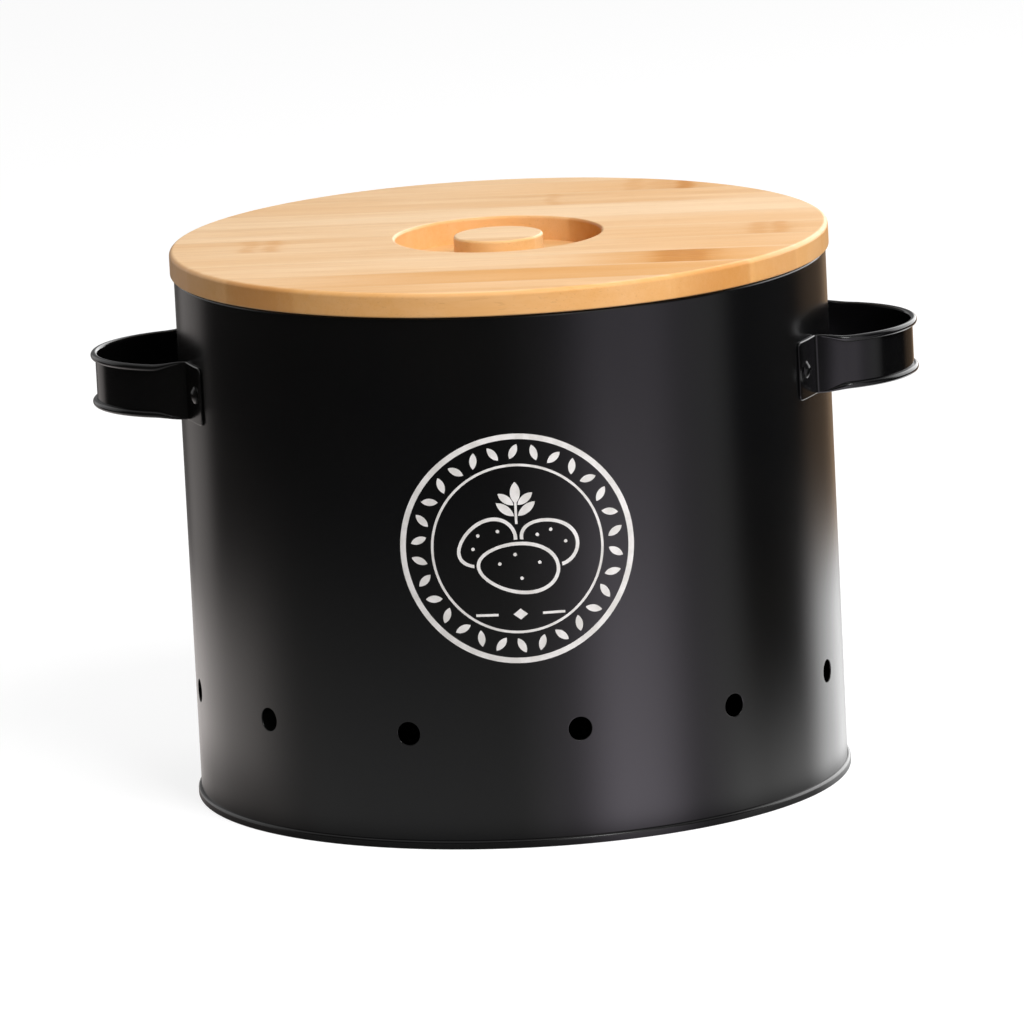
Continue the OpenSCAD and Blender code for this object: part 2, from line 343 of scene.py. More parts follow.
def fill(node, inputs):
    """Gives a node's inputs numbers or links."""
    for key, value in inputs.items():
        if isinstance(value, bpy.types.NodeSocket):
            node.id_data.links.new(value, node.inputs[key])
        else:
            node.inputs[key].default_value = value


def add(kind, inputs=None, tree=None, **fields):
    """Adds a shader node, sets its fields and fills its inputs.

    It goes to the given tree, or else to the one that its links come from.
    """
    if tree is None:
        tree = next(v.id_data for v in inputs.values() if isinstance(v, bpy.types.NodeSocket))
    node = tree.nodes.new(kind)
    for field, value in fields.items():
        setattr(node, field, value)
    fill(node, inputs or {})
    return node


def calc(operation, a, b=0.0):
    return add("ShaderNodeMath", {0: a, 1: b}, operation=operation).outputs[0]


def times(a, b):
    return calc("MULTIPLY", a, b)


def minus(a, b):
    return calc("SUBTRACT", a, b)


def total(*values):
    result = values[0]
    for value in values[1:]:
        result = calc("ADD", result, value)
    return result


def fade(value, start, end, low=0.0, high=1.0):
    """Eases from low to high as value goes from start to end."""
    inputs = {"Value": value, "From Min": start, "From Max": end, "To Min": low, "To Max": high}
    node = add("ShaderNodeMapRange", inputs, interpolation_type="SMOOTHSTEP")
    return node.outputs["Result"]


def stretched(place, scale):
    """Coordinates times scale along each axis."""
    return add("ShaderNodeMapping", {"Vector": place, "Scale": scale}).outputs[0]


def noise(place, scale, detail=2.0, rough=0.5):
    inputs = {"Vector": place, "Scale": scale, "Detail": detail, "Roughness": rough}
    return add("ShaderNodeTexNoise", inputs).outputs["Fac"]


def mix(share, a, b):
    """Colour that goes from a to b as share goes from 0 to 1."""
    return add("ShaderNodeMix", {0: share, 6: a, 7: b}, data_type="RGBA").outputs[2]


def empty_tree(owner):
    """Node tree of a material or a world, with nothing in it."""
    owner.use_nodes = True
    owner.node_tree.nodes.clear()
    return owner.node_tree


def parts(vector):
    """X, Y and Z of a vector."""
    return add("ShaderNodeSeparateXYZ", {0: vector}).outputs


def new_material(name):
    """Material with only a shader and an output, and its place coordinates."""
    material = bpy.data.materials.new(name)
    tree = empty_tree(material)
    shader = add("ShaderNodeBsdfPrincipled", tree=tree)
    add("ShaderNodeOutputMaterial", {"Surface": shader.outputs[0]})
    place = add("ShaderNodeTexCoord", tree=tree).outputs["Object"]
    return material, shader, place


def bump(height, strength):
    """Normal that follows a height, where 1 stands for a tenth of a millimetre."""
    inputs = {"Height": height, "Strength": strength, "Distance": 0.1 * MM}
    return add("ShaderNodeBump", inputs).outputs["Normal"]


def black_coat(name, rough, rough_spread, peel):
    """Powder-coated tin: near black, with a fine peel and slow changes of gloss."""
    material, shader, place = new_material(name)
    cloud = noise(place, 9, 3)
    fine = noise(place, 900, 2)
    colour = mix(fade(cloud, 0.35, 0.7), COAT, COAT_WARM)
    colour = mix(fade(fine, 0.62, 0.75, 0, 0.2), colour, COAT_SPECK)
    wave = total(times(noise(place, 420, 1), 0.8), fine)
    fill(shader, {
        "Base Color": colour,
        "Roughness": fade(cloud, 0.3, 0.7, rough - rough_spread, rough + rough_spread),
        "Normal": bump(wave, peel),
    })
    return material


def white_ink():
    """Screen-printed ink: off-white, a little uneven in cover."""
    material, shader, place = new_material("white_ink")
    cloud = noise(place, 160, 4, 0.6)
    fine = noise(place, 1800, 2)
    fill(shader, {
        "Base Color": mix(fade(cloud, 0.35, 0.65), INK_THIN, INK_FULL),
        "Roughness": fade(fine, 0.3, 0.7, 0.45, 0.6),
        "Normal": bump(fine, 0.25),
    })
    return material


def zinc():
    """Plated steel of the knob's screw, finely brushed."""
    material, shader, place = new_material("zinc_steel")
    brushed = noise(stretched(place, (1, 30, 1)), 300, 3)
    fill(shader, {
        "Base Color": mix(brushed, ZINC_DARK, ZINC_PALE),
        "Metallic": 1.0,
        "Roughness": fade(brushed, 0.3, 0.7, 0.25, 0.42),
        "Normal": bump(brushed, 0.2),
    })
    return material


class Bamboo:
    """Laminated bamboo, with its strips along X but for a slight skew.

    Places and widths are in millimetres. Each mark is given as LID_MARKS gives them.
    """

    SKEW = 0.02
    # Start of the strips' numbers, from which the lid's tones lie much as in the photograph
    TONES = 36511.5
    # Slide of the grain along a strip of the palest tone
    SLIDE = 900
    # Reach of the glue line and of a mark's soft sides, as shares of the strip's width
    GLUE_W = 0.018
    MARK_SIDE = 0.07
    # How far a mark's ends wander
    WANDER = 1.6
    # Upward part of the normal from which a face begins to count as level
    LEVEL_FROM = 0.7
    # Strength of the colours that are laid over the strips
    # The first share is the upright faces' colour: partly the cut sides' own tone, partly painted shade
    SIDE_AND_SHADE_SHARE = 0.7
    PORE_SHARE = 0.16
    GLUE_SHARE = 0.26
    BROWN_SHARE = 0.7

    def __init__(self, name, strip_edge, pale, deep, edge, knots=(), tints=(), ends=()):
        self.material, self.shader, metres = new_material(name)
        self.up = parts(metres.node.outputs["Normal"])[2]
        place = stretched(metres, (1 / MM, 1 / MM, 1 / MM))
        x, y, z = parts(place)
        y = total(y, times(x, self.SKEW))
        lane = calc("DIVIDE", minus(y, strip_edge), STRIP_W)
        self.strip = calc("FLOOR", lane)
        across = calc("FRACT", lane)
        self.from_side = calc("MINIMUM", across, minus(1.0, across))
        inputs = {"W": total(self.strip, self.TONES)}
        self.tone = add("ShaderNodeTexWhiteNoise", inputs, noise_dimensions="1D").outputs["Value"]
        along = total(x, times(self.tone, self.SLIDE))
        self.grain = add("ShaderNodeCombineXYZ", {0: along, 1: y, 2: z}).outputs[0]
        ragged = noise(stretched(place, (1 / 30, 1 / 9, 1 / 9)), 1, 3)
        self.ragged_x = total(x, fade(ragged, 0.2, 0.8, -self.WANDER, self.WANDER))
        self.finish(pale, deep, edge, knots, tints, ends)

    def streaks(self, long, fine, detail=3.0):
        """Noise in streaks that are about long by fine in size."""
        return noise(stretched(self.grain, (1 / long, 1 / fine, 0.5 / fine)), 1, detail)

    def mark(self, strip, x, half_l, strength):
        """Soft-ended mark across one strip. Its ends wander a little from side to side."""
        own = add("ShaderNodeMath", {0: self.strip, 1: strip, 2: 0.5}, operation="COMPARE").outputs[0]
        sides = fade(self.from_side, 0, self.MARK_SIDE)
        off = calc("ABSOLUTE", minus(self.ragged_x, x))
        along = fade(off, half_l * 0.2, half_l * 1.8, strength, 0)
        return times(along, times(own, sides))

    def finish(self, pale, deep, edge, knots, tints, ends):
        """Fills the shader: the strips' tones and grain, then the deeper colour of upright faces, partly the
        cut sides' own tone and partly painted shade, then pores, glue lines and marks, of which some on
        upright faces are painted shade.
        """
        broad = self.streaks(110, 9, 2)
        fibre = self.streaks(60, 1.4)
        hair = self.streaks(16, 0.4, 2)
        mottle = fade(self.streaks(8, 1.6, 2), 0.3, 0.55, 0.5, 1)
        pores = fade(self.streaks(7, 0.3, 1), 0.62, 0.72)
        share = total(
            fade(self.tone, 0, 1, -0.22, 0.22),
            fade(broad, 0.3, 0.7, -0.22, 0.22),
            fade(fibre, 0.3, 0.7, 0.36, 0.7),
            fade(hair, 0.3, 0.7, -0.1, 0.1),
        )
        level = fade(calc("ABSOLUTE", self.up), self.LEVEL_FROM, 1.0)
        upright = minus(1.0, level)
        glue = times(fade(self.from_side, 0.0, self.GLUE_W, 1, 0), level)
        colour = mix(share, deep, pale)
        # Upright faces take a deeper colour: partly their own tone, partly painted shade
        for cover, strength, tone in (
            (upright, self.SIDE_AND_SHADE_SHARE, edge),
            (pores, self.PORE_SHARE, PORE_BROWN),
            (glue, self.GLUE_SHARE, GLUE_BROWN),
        ):
            colour = mix(times(cover, strength), colour, tone)
        for tint in tints:
            amber = times(self.mark(*tint), level)
            colour = mix(amber, colour, AMBER)
        for knot in knots:
            dark = times(self.mark(*knot), mottle)
            colour = mix(dark, colour, AMBER)
            colour = mix(times(dark, self.BROWN_SHARE), colour, NODE_BROWN)
        # Marks on upright faces: painted shade on the recess's right wall, and darker end grain round the
        # board's side
        for end in ends:
            dark = times(self.mark(*end), upright)
            colour = mix(dark, colour, NODE_BROWN)
        height = minus(minus(times(fibre, 0.5), pores), glue)
        fill(self.shader, {
            "Base Color": colour,
            "Roughness": fade(fibre, 0.3, 0.7, 0.33, 0.43),
            "Normal": bump(height, 0.3),
        })


# Tin wall

def vent_centre(sector):
    """Turn of a vent about the bin's axis."""
    return VENT_TURN + (sector + 0.5) * 360 / VENT_COUNT


def vent_way(i):
    """Turn of a corner about its vent. The count starts at the lower left."""
    return radians(i * 360 / (4 * VENT_CELLS) - 135)


def wall_point(radius, degrees, z, inside):
    """Corner on the wall's outer or inner face, as (point, normal)."""
    way = -1 if inside else 1
    return (polar(radius, degrees, z), way * polar(1, degrees))


def vent_patch(shell, radius, centre, inside):
    """Square patch of the wall that closes in on a round hole."""
    half_cells = VENT_CELLS // 2
    half_turn = half_cells * 360 / COLUMNS
    half_h = half_cells * VENT_CELL_H
    square = []
    for side in range(4):
        for i in range(VENT_CELLS):
            t = i / half_cells - 1
            across, up = [(t, -1), (1, t), (-t, 1), (-1, -t)][side]
            square.append((across * half_turn, up * half_h))
    rings = (0, 0.12, 0.3, 0.6, 1)
    rows = []
    for share in rings:
        row = []
        for i, (across, up) in enumerate(square):
            way = vent_way(i)
            round_across = math.degrees((VENT_R + VENT_EDGE) * cos(way) / BODY_R)
            round_up = (VENT_R + VENT_EDGE) * sin(way)
            turn = centre + between(round_across, across, share)
            row.append(wall_point(radius, turn, VENT_Z + between(round_up, up, share), inside))
        rows.append(row)
    shell.grid(rows, around=True)


def vent_bore(shell, centre):
    """Hole through the sheet with both edges rounded over."""
    rim_r = VENT_R + VENT_EDGE
    run = arc((rim_r, BODY_R - VENT_EDGE), VENT_EDGE, 90, 180, 3)
    run += arc((rim_r, BODY_R - SHEET + VENT_EDGE), VENT_EDGE, 180, 270, 3)
    rows = []
    for bore, depth, n_bore, n_depth in run:
        row = []
        for i in range(4 * VENT_CELLS):
            way = vent_way(i)
            turn = centre + math.degrees(bore * cos(way) / BODY_R)
            sideways = polar(1, turn + 90) * cos(way) + UP * sin(way)
            point = polar(depth, turn, VENT_Z + bore * sin(way))
            row.append((point, polar(n_depth, turn) + sideways * n_bore))
        rows.append(row)
    shell.grid(rows, around=True)


def wall_face(shell, radius, low, high, inside):
    """One face of the wall, from low to high, with its vents."""
    band_low = VENT_Z - VENT_CELLS // 2 * VENT_CELL_H
    band = [band_low + i * VENT_CELL_H for i in range(VENT_CELLS + 1)]
    per_vent = COLUMNS // VENT_COUNT
    plain = (per_vent - VENT_CELLS) // 2
    for column in range(COLUMNS):
        in_sector = column % per_vent
        by_vent = plain <= in_sector < per_vent - plain
        heights = [low, band[0]], [] if by_vent else band, [band[-1], high]
        turns = [VENT_TURN + (column + i) * 360 / COLUMNS for i in (0, 1)]
        for levels in heights:
            shell.grid([[wall_point(radius, turn, z, inside) for turn in turns] for z in levels])
    for sector in range(VENT_COUNT):
        vent_patch(shell, radius, vent_centre(sector), inside)


def tin_wall(material):
    """Rolled wall with its vents and the curl at its rim."""
    shell = Shell()
    inner_r = BODY_R - SHEET
    curl_z = RIM_Z - CURL_R
    curl_in = math.degrees(math.acos((inner_r - BODY_R + CURL_R) / CURL_R))
    curl_end_z = curl_z - CURL_R * sin(radians(curl_in))
    wall_face(shell, BODY_R, SHEET, curl_z, False)
    wall_face(shell, inner_r, SHEET, curl_end_z, True)
    for sector in range(VENT_COUNT):
        vent_bore(shell, vent_centre(sector))
    lathe(shell, arc((BODY_R - CURL_R, curl_z), CURL_R, 0, 360 - curl_in, 28), COLUMNS, VENT_TURN)
    lathe(shell, line((inner_r, SHEET), (BODY_R, SHEET)), COLUMNS, VENT_TURN)
    shell.build("tin_wall", material, "bin", "tin", "body_wall")


def side_seam(material):
    """Flat locked seam down the back, folded over at both sides."""
    half = SEAM_W / 2
    fold_steps, end_steps = 6, 8
    across = [(-half, -SEAM_SUNK)]
    for side in (-1, 1):
        for i in range(fold_steps + 1):
            turn = radians(90 * (i if side < 0 else fold_steps - i) / fold_steps)
            x = side * (half - SEAM_FOLD + SEAM_FOLD * cos(turn))
            across.append((x, SEAM_OUT - SEAM_FOLD + SEAM_FOLD * sin(turn)))
    across.append((half, -SEAM_SUNK))
    low, high = SEAM_Z
    stations = [i * SEAM_END_L / end_steps for i in range(end_steps + 1)]
    levels = [low + s for s in stations] + [high - s for s in reversed(stations)]
    rows = []
    for z in levels:
        share = min(z - low, high - z, SEAM_END_L) / SEAM_END_L
        rise = sqrt(max(0, 1 - (1 - share) ** 2))
        rows.append([
            polar(BODY_R + (out * rise if out > 0 else out), 90 - math.degrees(s / BODY_R), z)
            for s, out in across
        ])
    shell = Shell()
    shell.grid(swept(rows))
    back = [[(p, -polar(1, 90)) for p in (row[0], row[-1])] for row in rows]
    shell.grid(back)
    for row in (rows[0], rows[-1]):
        shell.face([(p, UP * (1 if row is rows[-1] else -1)) for p in row])
    shell.build("side_seam", material, "bin", "tin")


def base_panel(material):
    """Pressed panel with a shallow ring, and the rolled seam round the foot."""
    inner_r = BODY_R - SHEET
    skirt_r = inner_r - SHEET
    low, top = BASE_RISE, BASE_RISE + SHEET
    start, end = PRESSED_R, PRESSED_R + PRESSED_W

    def pressed(z, steps=10):
        """Low smooth ring, as (r, z, normals), out from the centre."""
        run = []
        for i in range(steps + 1):
            turn = 2 * math.pi * i / steps
            rise = PRESSED_H / 2 * (1 - cos(turn))
            slope = PRESSED_H / 2 * sin(turn) * 2 * math.pi / PRESSED_W
            size = math.hypot(slope, 1)
            run.append((between(start, end, i / steps), z + rise, slope / size, -1 / size))
        return run

    bend_r, bend_z, crease_r = skirt_r - SKIRT_BEND, low - SKIRT_BEND, skirt_r + SKIRT_CREASE
    under = line((0, low), (start, low)) + pressed(low) + line((end, low), (bend_r, low))
    under += arc((bend_r, bend_z), SKIRT_BEND, 90, 0, 5)
    under += line((skirt_r, bend_z), (skirt_r, SKIRT_CREASE))
    under += arc((crease_r, SKIRT_CREASE), SKIRT_CREASE, 180, 270, 4)
    under += line((crease_r, 0), (FOOT_R - FOOT_ROUND, 0))
    under += arc((FOOT_R - FOOT_ROUND, FOOT_ROUND), FOOT_ROUND, -90, 0, 6)
    under += arc((FOOT_R - FOOT_TOP_ROUND, FOOT_H - FOOT_TOP_ROUND), FOOT_TOP_ROUND, 0, 90, 9)
    under += line((FOOT_R - FOOT_TOP_ROUND, FOOT_H), (BODY_R, FOOT_H))
    upper = [(r, z, -nr, -nz) for r, z, nr, nz in reversed(pressed(top))]
    inside = line((inner_r, top), (end, top)) + upper + line((start, top), (0, top))
    by_wall = line((BODY_R, FOOT_H), (inner_r, top))
    shell = lathe_all((under, by_wall, inside), COLUMNS, VENT_TURN)
    shell.build("base_panel", material, "bin", "tin", "base_plate")


# Handles

class StrapPath:
    """Half of a handle's strap in plan, from the middle of the loop to the end of the foot towards +Y.

    The loop turns about loop_x, the bend at the wall about bend, and the foot lies on the wall.
    """

    def __init__(self):
        self.loop_x = BODY_R + LOOP_REACH - LOOP_R
        self.in_r = LOOP_R - 2 * BEAD_R
        self.out_r = self.in_r + STRAP_T
        from_axis = BODY_R + STRAP_T + BEND_R
        from_loop = self.out_r + BEND_R
        cosine = (from_axis ** 2 + self.loop_x ** 2 - from_loop ** 2) / (2 * from_axis * self.loop_x)
        self.bend_turn = math.degrees(math.acos(cosine))
        self.bend = polar(from_axis, self.bend_turn)
        self.loop_turn = math.degrees(math.atan2(self.bend.y, self.bend.x - self.loop_x))
        self.foot_turn = self.bend_turn + math.degrees(FOOT_W / BODY_R)

    def stations(self):
        """Sections along the strap, each as the arguments of strap_section."""
        found = []
        runout = math.degrees(RUNOUT_L / self.out_r)
        loop_steps = 60
        for i in range(loop_steps):
            turn = self.loop_turn * i / loop_steps
            rolled = smooth((self.loop_turn - RUNOUT_GAP - turn) / runout)
            point = polar(self.in_r, turn) + Vector((self.loop_x, 0, 0))
            found.append((point, polar(1, turn), between(FOOT_HALF_H, STRAP_HALF_H, rolled), rolled, 0))
        bend_steps = 9
        for i in range(bend_steps):
            turn = 180 + between(self.loop_turn, self.bend_turn, i / bend_steps)
            out = -polar(1, turn)
            found.append((self.bend - out * (BEND_R + STRAP_T), out, FOOT_HALF_H, 0, 0))
        for along, pinch in self.foot_steps():
            turn = self.bend_turn + math.degrees(along / BODY_R)
            into = max(0, along - FOOT_W + FOOT_CORNER)
            half = FOOT_HALF_H - FOOT_CORNER + sqrt(max(0, FOOT_CORNER ** 2 - into ** 2))
            found.append((polar(BODY_R, turn), polar(1, turn), half, 0, pinch))
        return found

    def foot_steps(self):
        """Distances along the foot, each with how much its edge is rounded off there."""
        plain = FOOT_W - FOOT_CORNER
        plain_steps, corner_steps = 4, 12
        steps = [(plain * i / plain_steps, 0) for i in range(plain_steps + 1)]
        for i in range(1, corner_steps + 1):
            turn = radians(90 * i / corner_steps)
            along = plain + FOOT_CORNER * sin(turn)
            depth = max(0, along - FOOT_W + FOOT_EDGE)
            steps.append((along, FOOT_EDGE - sqrt(max(0, FOOT_EDGE ** 2 - depth ** 2))))
        return steps


def strap_section(point, out, half_h, rolled, pinch):
    """Outline of the strap at a station: the inner face with both edges, and the outer face between them.

    point is on the inner face, and out is the way out of it. rolled is 0 at the pressed foot and 1 where the
    edges are full beads, and pinch is how much each face is rounded off.
    """
    low, high = pinch, STRAP_T - pinch
    half_t = between((high - low) / 2, BEAD_R, rolled)
    edge_h = between(PRESSED_EDGE, BEAD_R, rolled)
    edge_z = half_h - edge_h
    meets = math.degrees(math.acos(max(-1, min(1, (high - low - half_t) / half_t))))
    steps = 18
    upper = []
    for i in range(steps + 1):
        turn = radians(between(-meets, 180, i / steps))
        upper.append((low + half_t + half_t * cos(turn), edge_z + edge_h * sin(turn)))
    straight = [(low, edge_z * t) for t in (0.9, 0.3, -0.3, -0.9)]
    around = upper + straight + [(x, -z) for x, z in reversed(upper)]
    seam_z = upper[0][1]
    across = [(high, z) for z in (-seam_z, -seam_z / 3, seam_z / 3, seam_z)]

    def placed(outline):
        return [point + out * x + UP * (HANDLE_Z + z) for x, z in outline]

    return placed(around), placed(across)


def handle(name, material, half_turn, replaced):
    """One strap, turned about Z by half_turn degrees."""
    half = StrapPath().stations()
    flip = Matrix.Diagonal((1, -1, 1))
    mirrored = [(flip @ point, flip @ out, *rest) for point, out, *rest in half]
    stations = mirrored[:0:-1] + half
    spin = Matrix.Rotation(radians(half_turn), 3, "Z")
    sections = [strap_section(spin @ point, spin @ out, *rest) for point, out, *rest in stations]
    shell = Shell()
    for part in (0, 1):
        rows = [section[part] for section in sections]
        shell.grid(swept(rows))
    for end, other in ((0, 1), (-1, -2)):
        around, across = sections[end]
        way = (around[0] - sections[other][0][0]).normalized()
        shell.face([(p, way) for p in around + across])
    shell.build(name, material, "bin", "handle_tin", replaced)


def dome(base_r, high, steps=10):
    """Slice of a sphere from its rim to its top, as a profile."""
    ball_r = (base_r ** 2 + high ** 2) / (2 * high)
    rim = math.degrees(math.acos(base_r / ball_r))
    return arc((0, high - ball_r), ball_r, rim if high < ball_r else -rim, 90, steps)


def rivets(name, material, half_turn, replaced):
    """Two rivets of a handle, with round heads outside and spread tails inside."""
    path = StrapPath()
    shell = Shell()
    head_seat = BODY_R + STRAP_T
    tail_seat = sqrt((BODY_R - SHEET) ** 2 - TAIL_R ** 2)
    head = line((RIVET_R, head_seat), (RIVET_R, head_seat + RIVET_LIP))
    head += [(r, z + RIVET_LIP + head_seat, nr, nz) for r, z, nr, nz in dome(RIVET_R, RIVET_H - RIVET_LIP)]
    tail = [(r, tail_seat - z, nr, -nz) for r, z, nr, nz in dome(TAIL_R, TAIL_H)]
    shank = line((SHANK_R, tail_seat), (SHANK_R, head_seat))
    under_tail = line((TAIL_R, tail_seat), (SHANK_R, tail_seat))
    under_head = line((SHANK_R, head_seat), (RIVET_R, head_seat))
    turn_from_axis = path.foot_turn - math.degrees(RIVET_INSET / BODY_R)
    for side in (-1, 1):
        turn = radians(half_turn + side * turn_from_axis)
        place = Matrix.Translation((0, 0, HANDLE_Z)) @ Matrix.Rotation(turn, 4, "Z")
        place = place @ Matrix.Rotation(radians(90), 4, "Y")
        for run in (head, tail, shank, under_tail, under_head):
            lathe(shell, run, RIVET_COLUMNS, 0, place)
    shell.build(name, material, "bin", "rivet", replaced)


# Lid

def lid_board(material):
    """Round board with the round hole of the recess."""
    low, top = LID_Z, LID_Z + LID_T
    run = line((RECESS_R, low), (LID_R - LID_UNDER_ROUND, low))
    run += arc((LID_R - LID_UNDER_ROUND, low + LID_UNDER_ROUND), LID_UNDER_ROUND, -90, 0, 5)
    run += arc((LID_R - LID_ROUND, top - LID_ROUND), LID_ROUND, 0, 90, 9)
    run += line((LID_R - LID_ROUND, top), (RECESS_R + RECESS_ROUND, top))
    run += arc((RECESS_R + RECESS_ROUND, top - RECESS_ROUND), RECESS_ROUND, 90, 180, 6)
    run += line((RECESS_R, top - RECESS_ROUND), (RECESS_R, low))
    lathe_all([run]).build("bamboo_board", material, "lid", "bamboo", "lid_board")


def lid_plug(material):
    """Disc under the board, with the sunk hole for the screw's head."""
    low = LID_Z - PLUG_T
    sink = SCREW_HEAD_R - SCREW_R
    run = line((SCREW_HEAD_R, low), (PLUG_R - LID_UNDER_ROUND, low))
    run += arc((PLUG_R - LID_UNDER_ROUND, low + LID_UNDER_ROUND), LID_UNDER_ROUND, -90, 0, 5)
    run += line((PLUG_R, low + LID_UNDER_ROUND), (PLUG_R, LID_Z))
    over = line((PLUG_R, LID_Z), (SCREW_R, LID_Z))
    bore = line((SCREW_R, LID_Z), (SCREW_R, low + sink))
    sunk = line((SCREW_R, low + sink), (SCREW_HEAD_R, low))
    lathe_all((run, over, bore, sunk)).build("bamboo_plug", material, "lid", "bamboo_plug", "lid_plug")


def lid_knob(material):
    """Round knob on the plug, with the screw's blind hole."""
    top = LID_Z + LID_T
    hole_top = LID_Z + KNOB_HOLE
    run = line((KNOB_R, LID_Z), (KNOB_R, top - KNOB_ROUND))
    run += arc((KNOB_R - KNOB_ROUND, top - KNOB_ROUND), KNOB_ROUND, 0, 90, 8)
    run += line((KNOB_R - KNOB_ROUND, top), (0, top))
    under = line((SCREW_R, LID_Z), (KNOB_R, LID_Z))
    bore = line((SCREW_R, hole_top), (SCREW_R, LID_Z))
    bore_end = line((0, hole_top), (SCREW_R, hole_top))
    shell = lathe_all((run, under, bore, bore_end), KNOB_COLUMNS)
    shell.build("bamboo_knob", material, "lid", "bamboo", "lid_knob")


# Front print: a ring of leaves round three potatoes and a sprig

class Print:
    """Collects flat shapes, drawn as seen from the front, and lays them on the wall as thin ink."""

    def __init__(self):
        self.shell = Shell()
        self.spin = Matrix.Rotation(radians(PRINT_TURN), 3, "Z")

    def on_wall(self, spot, height):
        """Place of a drawn spot, at a height over the wall."""
        x, z = spot
        r = BODY_R + height
        return self.spin @ Vector((x, -sqrt(r * r - x * x), PRINT_Z + z))

    def strip(self, left, right, closed=False):
        """Band of ink between two lines of points that run the same way."""
        stations = list(zip(left, right))
        if closed:
            stations.append(stations[0])
        corners = ((0, INK), (1, INK), (1, -INK_SUNK), (0, -INK_SUNK))
        rows = [[self.on_wall(spots[k], height) for k, height in corners] for spots in stations]
        for near, far in zip(rows, rows[1:]):
            centre = sum((*near, *far), Vector()) / 8
            for i in range(4):
                j = (i + 1) % 4
                middle = (near[i] + near[j] + far[i] + far[j]) / 4
                if i % 2 == 0:
                    look = Vector((middle.x, middle.y, 0)).normalized() * (1 if i == 0 else -1)
                else:
                    look = (middle - centre).normalized()
                self.shell.face([(p, look) for p in (near[i], near[j], far[j], far[i])])
        if not closed:
            for row, next_row in ((rows[0], rows[1]), (rows[-1], rows[-2])):
                look = (sum(row, Vector()) - sum(next_row, Vector())).normalized()
                self.shell.face([(p, look) for p in row])


def turned(spot, degrees, shift=(0, 0)):
    """Spot turned about the drawing's middle and then moved by shift."""
    turn = radians(degrees)
    c, s = cos(turn), sin(turn)
    return (shift[0] + c * spot[0] - s * spot[1], shift[1] + s * spot[0] + c * spot[1])


def circle(radius, turns, centre=(0, 0)):
    return [(centre[0] + radius * cos(t), centre[1] + radius * sin(t)) for t in turns]


def draw_ring(ink, radius, wide, steps=240):
    turns = [radians(i * 360 / steps) for i in range(steps)]
    ink.strip(circle(radius, turns), circle(radius - wide, turns), closed=True)


def draw_leaf(ink, long, wide, degrees, shift, then=None):
    """Pointed leaf, turned by degrees and moved by shift, and then given to then if that is set."""
    arc_r = (long ** 2 + wide ** 2) / (4 * wide)
    steps = 12
    upper, lower = [], []
    for i in range(steps + 1):
        x = long * (i / steps - 0.5)
        half = max(0, sqrt(arc_r ** 2 - x ** 2) - arc_r + wide / 2)
        for side, points in ((1, upper), (-1, lower)):
            spot = turned((x, side * half), degrees, shift)
            points.append(then(spot) if then else spot)
    ink.strip(upper, lower)


def draw_wreath(ink):
    """Ring of leaves that lean to either side in turn."""
    middle = PRINT_R - BOLD - WREATH_W / 2
    for i in range(WREATH_LEAVES):
        lean = -LEAF_LEAN if i % 2 == 0 else LEAF_LEAN
        turn = i * 360 / WREATH_LEAVES
        draw_leaf(ink, LEAF_L, LEAF_W, 90 + lean, (0, middle), lambda spot: turned(spot, turn))


def draw_dot(ink, radius, centre):
    steps = 8
    turns = [math.pi * i / steps for i in range(steps + 1)]
    ink.strip(circle(radius, turns, centre), circle(radius, [-t for t in turns], centre))


class Potato:
    """Blunt oval with one end fuller than the other."""

    FULLER = 0.14
    # Places of the eyes, as shares of the half sizes
    EYES = ((0.5, 0.25), (0.1, -0.4), (-0.45, 0.1), (-0.1, 0.5))
    STEPS = 120

    def __init__(self, half_l, half_w, lean, centre):
        self.half_l, self.half_w, self.lean, self.centre = half_l, half_w, lean, centre

    def rim(self, turn, inset):
        """Spot on the rim, moved in by inset."""
        half_l, half_w = self.half_l - inset, self.half_w - inset
        x = half_l * cos(turn)
        z = half_w * sin(turn) * (1 + self.FULLER * cos(turn))
        return turned((x, z), self.lean, self.centre)

    def holds(self, spot, margin):
        """True if the spot lies within this potato, grown by margin."""
        local = turned((spot[0] - self.centre[0], spot[1] - self.centre[1]), -self.lean)
        half_l, half_w = self.half_l + margin, self.half_w + margin
        if abs(local[0]) >= half_l:
            return False
        turn = math.acos(local[0] / half_l)
        return abs(local[1]) < half_w * sin(turn) * (1 + self.FULLER * cos(turn))

    def line_past(self, front, inset):
        """The rim's points that front doesn't hide, with both ends moved up to front's own edge."""
        def point(i):
            return self.rim(2 * math.pi * i / self.STEPS, inset)

        def hidden(i):
            return front is not None and front.holds(point(i), FINE)

        if front is None:
            return [point(i) for i in range(self.STEPS)]
        first = next(i for i in range(self.STEPS) if hidden(i) and not hidden(i + 1))
        last = next(i for i in range(first + 1, first + self.STEPS + 1) if hidden(i + 1))

        def edge(inner, outer):
            """Place where front's edge cuts the rim, between a hidden and an open one."""
            for step in range(20):
                middle = (inner + outer) / 2
                if hidden(middle):
                    inner = middle
                else:
                    outer = middle
            return outer

        start, end = edge(first, first + 1), edge(last + 1, last)
        return [point(between(start, end, i / self.STEPS)) for i in range(self.STEPS + 1)]

    def draw(self, ink, front=None):
        stroke = 1.4 * FINE
        ink.strip(self.line_past(front, 0), self.line_past(front, stroke), closed=front is None)
        for x, z in self.EYES:
            spot = turned((x * self.half_l, z * self.half_w), self.lean, self.centre)
            if front is None or not front.holds(spot, 2 * FINE):
                draw_dot(ink, 0.7 * FINE, spot)


def draw_potatoes(ink):
    """One potato before two others."""
    front = Potato(15, 9.5, -6, (0, -7))
    Potato(11.5, 8.5, 28, (-11, 2)).draw(ink, front)
    Potato(11, 8.5, -24, (11.5, 2)).draw(ink, front)
    front.draw(ink)


